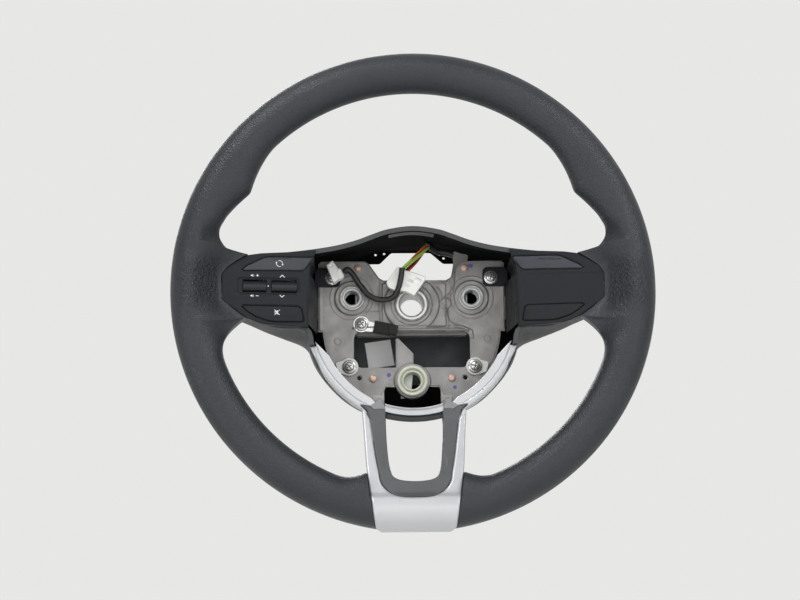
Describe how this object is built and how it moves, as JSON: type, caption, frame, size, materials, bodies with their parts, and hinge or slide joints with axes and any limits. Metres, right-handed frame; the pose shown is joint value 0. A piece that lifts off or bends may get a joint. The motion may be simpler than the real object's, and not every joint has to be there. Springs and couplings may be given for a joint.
{
  "type": "car steering wheel",
  "caption": "Three-spoke car steering wheel with switch pods, cast hub plate and split lower spoke, shown with its airbag module taken off.",
  "frame": {"origin": "on the steering axis, where the column bore meets the front face of the hub plate", "axes": "+X to the driver's right, +Z to twelve o'clock, +Y along the steering axis away from the driver"},
  "size_m": [0.3696, 0.1342, 0.37],
  "materials": {
    "cast_alloy": "as cast, fine grain",
    "core_rod": "drawn rod",
    "turned_steel": "turned",
    "zinc_steel": "bright zinc",
    "spring_steel": "drawn",
    "grip_leather": "moulded leather grain, soft sheen",
    "cover_grey": "fine texture",
    "silver_paint": "satin silver paint on moulded plastic",
    "insert_grey": "satin",
    "pod_black": "fine texture",
    "button_black": "fine texture",
    "plain_black": "plain",
    "circuit_green": "solder resist",
    "silicone": "silicone",
    "seat_plastic": "plain",
    "copper": "copper",
    "plug_white": "plain",
    "plug_grey": "plain",
    "wire_orange": "insulation",
    "wire_green": "insulation",
    "wire_red": "insulation",
    "cloth_tape": "woven cloth tape"
  },
  "bodies": {
    "wheel": {"armature": "cast_alloy", "rim_core": "core_rod", "hub_bushing": "turned_steel", "rim_foam": "grip_leather", "rear_cover": "cover_grey", "lower_spoke_cover": "cover_grey", "spoke_trim": "silver_paint", "spoke_insert": "insert_grey", "left_bezel": "pod_black", "right_bezel": "pod_black", "left_switch_back": "plain_black", "right_switch_back": "plain_black", "left_board": "circuit_green", "right_board": "circuit_green", "left_keypad": "silicone", "right_keypad": "silicone", "left_seat_bush": "seat_plastic", "right_seat_bush": "seat_plastic", "lower_seat_bush": "seat_plastic", "left_snap_wire": "spring_steel", "right_snap_wire": "spring_steel", "lower_clip": "spring_steel", "contact_rivets": "copper", "pod_screws": "zinc_steel", "trim_screws": "zinc_steel", "ground_screw": "zinc_steel", "ground_tab": "zinc_steel", "ground_connector": "plain_black", "left_plug": "plug_white", "lead_sheath": "plain_black", "centre_plug": "plug_white", "centre_socket": "plug_grey", "orange_wire": "wire_orange", "green_wire": "wire_green", "red_wire": "wire_red", "black_wire": "plain_black", "harness_tape": "cloth_tape"},
    "mode_button": {"mode_button": "button_black"},
    "mute_button": {"mute_button": "button_black"},
    "trip_button": {"trip_button": "button_black"},
    "reset_button": {"reset_button": "button_black"},
    "volume_rocker": {"volume_rocker": "button_black"},
    "seek_rocker": {"seek_rocker": "button_black"}
  },
  "joints": [
    {"name": "mode_press", "type": "slide", "parent": "wheel", "child": "mode_button", "axis": [0, 1, 0], "range_m": [0, 0.0012], "stiffness_N_per_m": 2000, "springref_m": -0.0005},
    {"name": "mute_press", "type": "slide", "parent": "wheel", "child": "mute_button", "axis": [0, 1, 0], "range_m": [0, 0.0012], "stiffness_N_per_m": 2000, "springref_m": -0.0005},
    {"name": "trip_press", "type": "slide", "parent": "wheel", "child": "trip_button", "axis": [0, 1, 0], "range_m": [0, 0.0012], "stiffness_N_per_m": 2000, "springref_m": -0.0005},
    {"name": "reset_press", "type": "slide", "parent": "wheel", "child": "reset_button", "axis": [0, 1, 0], "range_m": [0, 0.0012], "stiffness_N_per_m": 2000, "springref_m": -0.0005},
    {"name": "volume_turn", "type": "hinge", "parent": "wheel", "child": "volume_rocker", "pos_m": [-0.11, -0.06135, 0.0039], "axis": [0.9896, 0.1439, 0], "range_deg": [-7, 7], "stiffness_Nm_per_rad": 0.06},
    {"name": "seek_turn", "type": "hinge", "parent": "wheel", "child": "seek_rocker", "pos_m": [-0.11, -0.06135, 0.0039], "axis": [0.9896, 0.1439, 0], "range_deg": [-7, 7], "stiffness_Nm_per_rad": 0.06}
  ]
}
